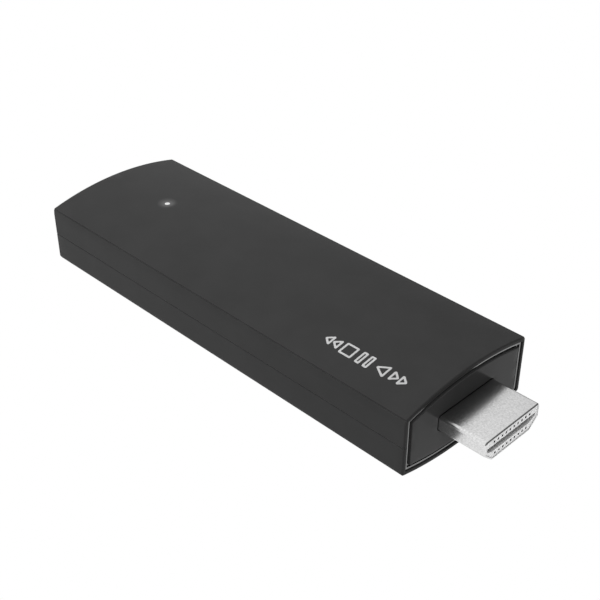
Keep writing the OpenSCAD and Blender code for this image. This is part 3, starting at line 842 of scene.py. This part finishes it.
MARK_X, MARK_Y = 27.2 * MM, -9.3 * MM
MARK_PITCH = 3.5 * MM
MARK_STROKE = 0.36 * MM
MARK_RAISED, MARK_SUNK = 0.015 * MM, 0.05 * MM
MARK_CORNER_R = 0.25 * MM
MARK_INNER_ROUND = 0.3
MARK_EDGE_PARTS = 4


def wedge(middle, width, height, way):
    """Triangle that points along the strip (way 1) or against it (way -1), corners anticlockwise."""
    u, v = way * width / 2, height / 2
    return [(middle + u, 0), (middle - u, way * v), (middle - u, -way * v)]


def bar(middle, width, height):
    """Upright bar, corners anticlockwise."""
    u, v = width / 2, height / 2
    return [(middle - u, -v), (middle + u, -v), (middle + u, v), (middle - u, v)]


# Each sign's outlines about its own middle, in millimetres.
MARK_SIGNS = (
    (wedge(-0.85, 1.6, 2.6, -1), wedge(0.80, 1.6, 2.6, -1)),
    (wedge(0.1, 2.4, 2.9, 1),),
    (bar(-0.8, 1.0, 2.7), bar(0.8, 1.0, 2.7)),
    (bar(0, 2.6, 2.6),),
    (wedge(-0.80, 1.6, 2.6, 1), wedge(0.85, 1.6, 2.6, 1)))


def printed_line(corners, middle):
    """Stroke round a convex sign, in millimetres, laid on the arched top: four outlines (outer and
    inner, sunk and raised) that close into a thin ribbon of even width."""
    corners = np.array(corners, float) * MM
    radii = np.full(len(corners), MARK_CORNER_R)
    outer = split_edges(rounded_corners(corners, radii), MARK_EDGE_PARTS)
    inner = rounded_corners(moved_inwards(corners, MARK_STROKE), radii * MARK_INNER_ROUND)
    inner = split_edges(inner, MARK_EDGE_PARTS)
    rows = []
    for outline, lift in ((outer, -MARK_SUNK), (outer, MARK_RAISED),
                          (inner, MARK_RAISED), (inner, -MARK_SUNK)):
        x, y = MARK_X - middle - outline[:, 0], MARK_Y - outline[:, 1]
        z = SEAM_Z + ARCH_CENTRE + np.sqrt(ARCH_R ** 2 - y ** 2) + lift
        rows.append(np.stack([x, y, z], axis=1))
    return loop_of_rows(np.array(rows))


def printed_signs():
    """Five player signs in a strip that reads from the plug end: back, play, pause, stop, forward."""
    names = ("mark_back", "mark_play", "mark_pause", "mark_stop", "mark_forward")
    for place, (name, signs) in enumerate(zip(names, MARK_SIGNS)):
        for half, sign in enumerate(signs):
            finish_piece(f"{name}_{half + 1}", printed_line(sign, (place - 2) * MARK_PITCH), "stick",
                         ink)


# ---- materials of the small parts ----

def glowing(name, tone, rough, strength):
    """Frosted resin lit from behind, with faint clouds in its tone and in its light."""
    material, tree, shader = blank_material(name)
    cloud = noise(tree, place_coords(tree), 0.25 * MM, 2.0)
    tree.links.new(two_tone(tree, cloud, grey(tone - 0.06), grey(tone)), shader.inputs["Base Color"])
    tree.links.new(two_tone(tree, cloud, grey(0.92), grey(1.0)), shader.inputs["Emission Color"])
    shader.inputs["Emission Strength"].default_value = strength
    shader.inputs["Roughness"].default_value = rough
    bump(tree, shader, cloud, 0.002 * MM, 0.4)
    return material


def board_laminate(name):
    """Solder mask over copper: a lighter web of tracks, with their edges raised a little."""
    material, tree, shader = blank_material(name)
    tracks = tree.nodes.new("ShaderNodeTexVoronoi")
    tracks.distance = "MANHATTAN"
    tracks.feature = "F1"
    tracks.inputs["Scale"].default_value = 1 / (1.4 * MM)
    tree.links.new(place_coords(tree), tracks.inputs["Vector"])
    colour = two_tone(tree, tracks.outputs["Distance"], (0.010, 0.060, 0.030), (0.022, 0.110, 0.055),
                      0.35, 0.40)
    tree.links.new(colour, shader.inputs["Base Color"])
    shader.inputs["Roughness"].default_value = 0.32
    bump(tree, shader, tracks.outputs["Distance"], 0.02 * MM, 0.3)
    return material


lit_acrylic = glowing("light_pipe_acrylic", 0.30, 0.35, 0.30)
led_resin = glowing("led_resin", 0.85, 0.2, 3.0)
tinned = metal("tinned_sheet", grey(0.55), grey(0.64), (0.26, 0.38), 0.12 * MM, ALONG_Y, 0.001 * MM)
screw_steel = metal("screw_steel", grey(0.42), grey(0.52), (0.28, 0.40), 0.06 * MM, EVEN, 0.001 * MM)
spreader_sheet = metal("spreader_sheet", grey(0.66), grey(0.72), (0.32, 0.45), 0.15 * MM, ALONG_X,
                       0.002 * MM)
gold_flash = metal("gold_flash", (0.72, 0.50, 0.20), (0.83, 0.62, 0.30), (0.20, 0.30), 0.05 * MM, EVEN,
                   0.0005 * MM, 0.4 * MM)
antenna_sheet = metal("antenna_sheet", (0.60, 0.47, 0.24), (0.70, 0.57, 0.33), (0.28, 0.38), 0.1 * MM,
                      ALONG_X, 0.001 * MM)
chip_epoxy = moulded("chip_epoxy", grey(0.014), grey(0.020), (0.50, 0.66), 0.06 * MM, 0.003 * MM)
black_nylon = moulded("black_nylon", grey(0.016), grey(0.022), (0.42, 0.56), 0.07 * MM, 0.002 * MM)
white_nylon = moulded("white_nylon", (0.62, 0.62, 0.59), (0.70, 0.70, 0.67), (0.40, 0.5), 0.1 * MM,
                      0.002 * MM)
ferrite = moulded("ferrite", grey(0.07), grey(0.10), (0.55, 0.7), 0.12 * MM, 0.01 * MM)
ceramic_body = moulded("capacitor_ceramic", (0.30, 0.20, 0.11), (0.42, 0.30, 0.18), (0.35, 0.5),
                       0.1 * MM, 0.003 * MM)
resistor_film = moulded("resistor_film", grey(0.02), grey(0.035), (0.3, 0.45), 0.08 * MM, 0.002 * MM)
soft_pad = moulded("thermal_pad", (0.26, 0.34, 0.42), (0.32, 0.41, 0.50), (0.6, 0.75), 0.3 * MM,
                   0.01 * MM, 1.42)
mask_green = board_laminate("board_laminate")

NODE_FINISH = {
    "plug_insert": insert_plastic,
    "plug_contacts_upper": gold_flash, "plug_contacts_lower": gold_flash, "usb_contacts": gold_flash,
    "main_board": mask_green,
    "processor": chip_epoxy, "memory_chip_left": chip_epoxy, "memory_chip_right": chip_epoxy,
    "flash_chip": chip_epoxy, "power_chip": chip_epoxy, "surge_arrays": chip_epoxy,
    "resistors": resistor_film, "capacitors": ceramic_body, "inductors": ferrite,
    "wireless_module": tinned, "shield_frame": tinned, "shield_lid": tinned, "crystal": tinned,
    "board_screws": screw_steel,
    "processor_pad": soft_pad, "spreader_pad": soft_pad, "flash_pad": soft_pad,
    "heat_spreader_top": spreader_sheet, "heat_spreader_bottom": spreader_sheet,
    "antenna_left": antenna_sheet, "antenna_right": antenna_sheet,
    "usb_tongue": black_nylon, "switch_body": black_nylon, "switch_plunger": white_nylon,
    "status_led": led_resin,
}


def finish_nodes():
    """Gives every CAD node that no piece replaces its finish."""
    for node, material in NODE_FINISH.items():
        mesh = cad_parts[node].data
        mesh.materials.clear()
        mesh.materials.append(material)


# ---- studio ----

LENS_MM = 66.71
SENSOR_MM = 36
VIEW_AZIMUTH = 45.055
VIEW_ELEVATION = 34.129
VIEW_ROLL = -0.079
VIEW_DISTANCE = 199.17 * MM
NEAREST_SEEN = 1 * MM
AIM_FROM_MIDDLE = Vector((1.53, 1.90, 0.39)) * MM

FLOOR_HALF = 1.5
FLOOR_GLOW = 0.74
SKY_BRIGHT, SKY_DIM, SKY_SIDE = 0.98, 0.14, 0.2
SKY_X = (-0.35, 0.15)
SKY_Y = (0.60, 0.90)


def aim_camera():
    """Camera on a sphere about the aim point, which lies close to the middle of the object."""
    middle = (cad_low + cad_high) / 2
    azimuth, elevation = math.radians(VIEW_AZIMUTH), math.radians(VIEW_ELEVATION)
    back = Vector((math.sin(azimuth) * math.cos(elevation), -math.cos(azimuth) * math.cos(elevation),
                   math.sin(elevation)))
    lens = bpy.data.cameras.new("camera")
    lens.lens, lens.sensor_width = LENS_MM, SENSOR_MM
    lens.clip_start = NEAREST_SEEN
    camera = bpy.data.objects.new("camera", lens)
    bpy.context.scene.collection.objects.link(camera)
    camera.rotation_mode = "QUATERNION"
    camera.location = middle + AIM_FROM_MIDDLE + back * VIEW_DISTANCE
    turn = (-back).to_track_quat("-Z", "Y").to_matrix()
    roll = Matrix.Rotation(math.radians(VIEW_ROLL), 3, "Z")
    camera.rotation_quaternion = (turn @ roll).to_quaternion()
    bpy.context.scene.camera = camera


def seen_and_felt(tree, seen, felt, output):
    """Joins two shaders: one for what is seen directly, and one for what lights the object."""
    rays, choose = tree.nodes.new("ShaderNodeLightPath"), tree.nodes.new("ShaderNodeMixShader")
    tree.links.new(rays.outputs["Is Camera Ray"], choose.inputs["Fac"])
    tree.links.new(felt, choose.inputs[1])
    tree.links.new(seen, choose.inputs[2])
    tree.links.new(choose.outputs["Shader"], output)


def studio_floor():
    """Pale floor that is seen as plain white, with no shadow on it, and throws softer light back at the
    object."""
    mesh = bpy.data.meshes.new("studio_floor")
    corners = FLOOR_HALF * np.array([[-1, -1, 0], [1, -1, 0], [1, 1, 0], [-1, 1, 0]])
    mesh.from_pydata(corners + [0, 0, cad_low.z], [], [(0, 1, 2, 3)])
    material, tree, shader = blank_material("studio_floor")
    tone = two_tone(tree, noise(tree, place_coords(tree), 0.2), grey(0.10), grey(0.12))
    tree.links.new(tone, shader.inputs["Base Color"])
    shader.inputs["Roughness"].default_value = 0.9
    shader.inputs["Specular IOR Level"].default_value = 0.0
    shader.inputs["Emission Color"].default_value = (1, 1, 1, 1)
    shader.inputs["Emission Strength"].default_value = FLOOR_GLOW
    white = tree.nodes.new("ShaderNodeEmission")
    seen_and_felt(tree, white.outputs["Emission"], shader.outputs["BSDF"],
                  tree.nodes["Material Output"].inputs["Surface"])
    mesh.materials.append(material)
    floor = bpy.data.objects.new("studio_floor", mesh)
    bpy.context.scene.collection.objects.link(floor)


def studio_world():
    """Plain white behind the object. For its light, a tent that is bright behind the stick's back end
    and dim past its plug: strength goes from SKY_BRIGHT to SKY_DIM along the direction's X, and down
    to SKY_SIDE of that where the direction's Y is large."""
    world = bpy.data.worlds.new("studio")
    world.use_nodes = True
    tree = world.node_tree
    out, seen = tree.nodes["World Output"], tree.nodes["Background"]
    fill = tree.nodes.new("ShaderNodeBackground")
    seen.inputs["Color"].default_value = (1, 1, 1, 1)
    seen.inputs["Strength"].default_value = 1.0
    fill.inputs["Color"].default_value = (1, 1, 1, 1)
    coords, axes = tree.nodes.new("ShaderNodeTexCoord"), tree.nodes.new("ShaderNodeSeparateXYZ")
    tree.links.new(coords.outputs["Generated"], axes.inputs["Vector"])
    both = tree.nodes.new("ShaderNodeMath")
    both.operation = "MULTIPLY"
    tree.links.new(spread(tree, axes.outputs["X"], SKY_BRIGHT, SKY_DIM, *SKY_X), both.inputs[0])
    tree.links.new(spread(tree, axes.outputs["Y"], 1, SKY_SIDE, *SKY_Y), both.inputs[1])
    tree.links.new(both.outputs["Value"], fill.inputs["Strength"])
    seen_and_felt(tree, seen.outputs["Background"], fill.outputs["Background"], out.inputs["Surface"])
    bpy.context.scene.world = world


def softbox(name, azimuth, elevation, distance, size, power):
    """Square area light that faces the object from an azimuth and elevation, in degrees. Only the
    tent is mirrored in the metal, so that the light adds no hard spots to it."""
    light = bpy.data.lights.new(name, "AREA")
    light.shape, light.size, light.energy = "SQUARE", size, power
    lamp = bpy.data.objects.new(name, light)
    lamp.visible_glossy = False
    a, e = math.radians(azimuth), math.radians(elevation)
    out = Vector((math.sin(a) * math.cos(e), -math.cos(a) * math.cos(e), math.sin(e)))
    lamp.location = (cad_low + cad_high) / 2 + out * distance
    lamp.rotation_mode = "QUATERNION"
    lamp.rotation_quaternion = (-out).to_track_quat("-Z", "Y")
    bpy.context.scene.collection.objects.link(lamp)


def light_studio():
    studio_world()
    studio_floor()
    softbox("key_softbox", 315, 45, 0.35, 0.4, 1.3)
    softbox("fill_softbox", 40, 60, 0.7, 0.6, 5.5)
    bpy.context.scene.view_settings.view_transform = "Standard"


finish_nodes()
case_top()
case_bottom()
end_plate()
accent_ring()
plug_sleeve()
reset_button()
inlet_sleeve()
light_window()
printed_signs()
aim_camera()
light_studio()
